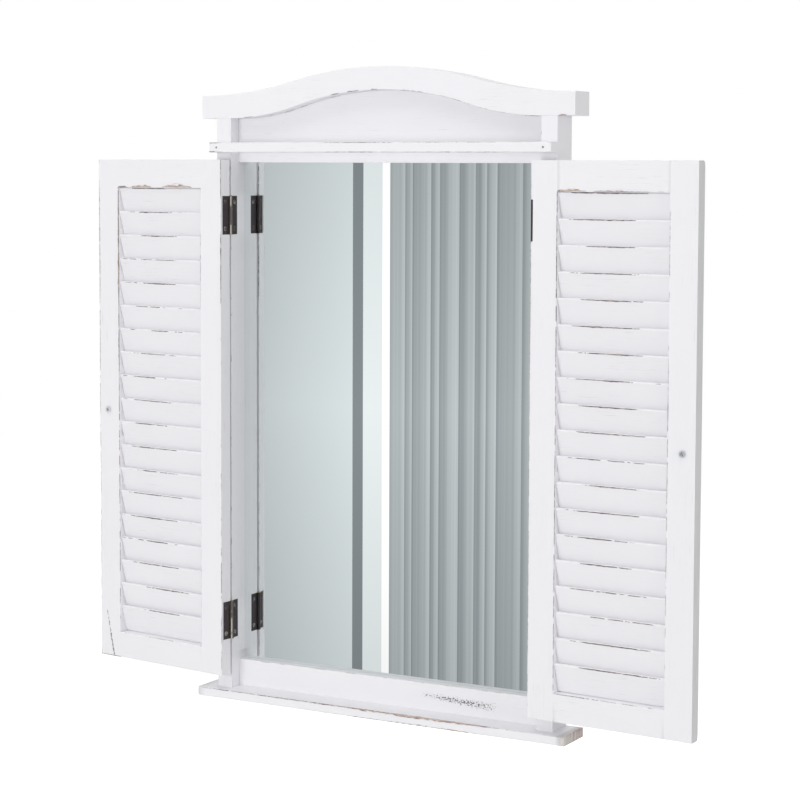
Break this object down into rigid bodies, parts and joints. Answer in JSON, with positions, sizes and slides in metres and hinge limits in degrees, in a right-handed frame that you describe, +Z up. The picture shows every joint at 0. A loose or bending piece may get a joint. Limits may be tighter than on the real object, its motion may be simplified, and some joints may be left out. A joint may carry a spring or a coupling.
{
  "type": "shutter mirror",
  "caption": "Wall mirror in a small window frame of distressed white wood, with an arched crown board, a ledge, a sill and louvred shutters that swing on butt hinges.",
  "frame": {"origin": "on the wall plane, midway between the centres of the two round hanger holes", "axes": "+Z up, +X to the right seen from the front, +Y into the wall; the viewer stands on the -Y side"},
  "size_m": [0.7612, 0.069, 0.7095],
  "materials": {
    "painted_wood": "thin white paint on solid wood, rubbed through to bare wood along some edges, satin",
    "silvered_glass": "flat silvered float glass",
    "hinge_bronze": "dark bronzed steel, slightly worn",
    "knob_bronze": "dark bronzed metal, satin",
    "pin_brass": "worn brass plating",
    "zinc_steel": "zinc-plated steel",
    "fibreboard": "raw brown hardboard",
    "beech_dowel": "fluted beech, raw"
  },
  "bodies": {
    "frame": {"left_post": "painted_wood", "right_post": "painted_wood", "sill_board": "painted_wood", "bottom_rail": "painted_wood", "head_board": "painted_wood", "crown_board": "painted_wood", "ledge_batten": "painted_wood", "left_upper_frame_leaf": "hinge_bronze", "left_lower_frame_leaf": "hinge_bronze", "right_upper_frame_leaf": "hinge_bronze", "right_lower_frame_leaf": "hinge_bronze", "frame_leaf_screws": "hinge_bronze", "left_upper_hinge_pin": "pin_brass", "left_lower_hinge_pin": "pin_brass", "right_upper_hinge_pin": "pin_brass", "right_lower_hinge_pin": "pin_brass", "left_hanger": "zinc_steel", "right_hanger": "zinc_steel", "hanger_screws": "zinc_steel", "sill_screws": "zinc_steel", "ledge_brads": "zinc_steel", "backing_pins": "zinc_steel", "mirror_glass": "silvered_glass", "backing_board": "fibreboard", "crown_dowels": "beech_dowel"},
    "left_shutter": {"left_hinge_stile": "painted_wood", "left_lock_stile": "painted_wood", "left_top_rail": "painted_wood", "left_bottom_rail": "painted_wood", "left_slats": "painted_wood", "left_upper_shutter_leaf": "hinge_bronze", "left_lower_shutter_leaf": "hinge_bronze", "left_leaf_screws": "hinge_bronze", "left_knob": "knob_bronze", "left_knob_screw": "zinc_steel"},
    "right_shutter": {"right_hinge_stile": "painted_wood", "right_lock_stile": "painted_wood", "right_top_rail": "painted_wood", "right_bottom_rail": "painted_wood", "right_slats": "painted_wood", "right_upper_shutter_leaf": "hinge_bronze", "right_lower_shutter_leaf": "hinge_bronze", "right_leaf_screws": "hinge_bronze", "right_knob": "knob_bronze", "right_knob_screw": "zinc_steel"}
  },
  "joints": [
    {"name": "left_shutter_hinge", "type": "hinge", "parent": "frame", "child": "left_shutter", "pos_m": [-0.19075, -0.0367, -0.3115], "axis": [0, 0, 1], "range_deg": [0, 188.4]},
    {"name": "right_shutter_hinge", "type": "hinge", "parent": "frame", "child": "right_shutter", "pos_m": [0.19075, -0.0367, -0.3115], "axis": [0, 0, -1], "range_deg": [-12.6, 175.8]}
  ]
}
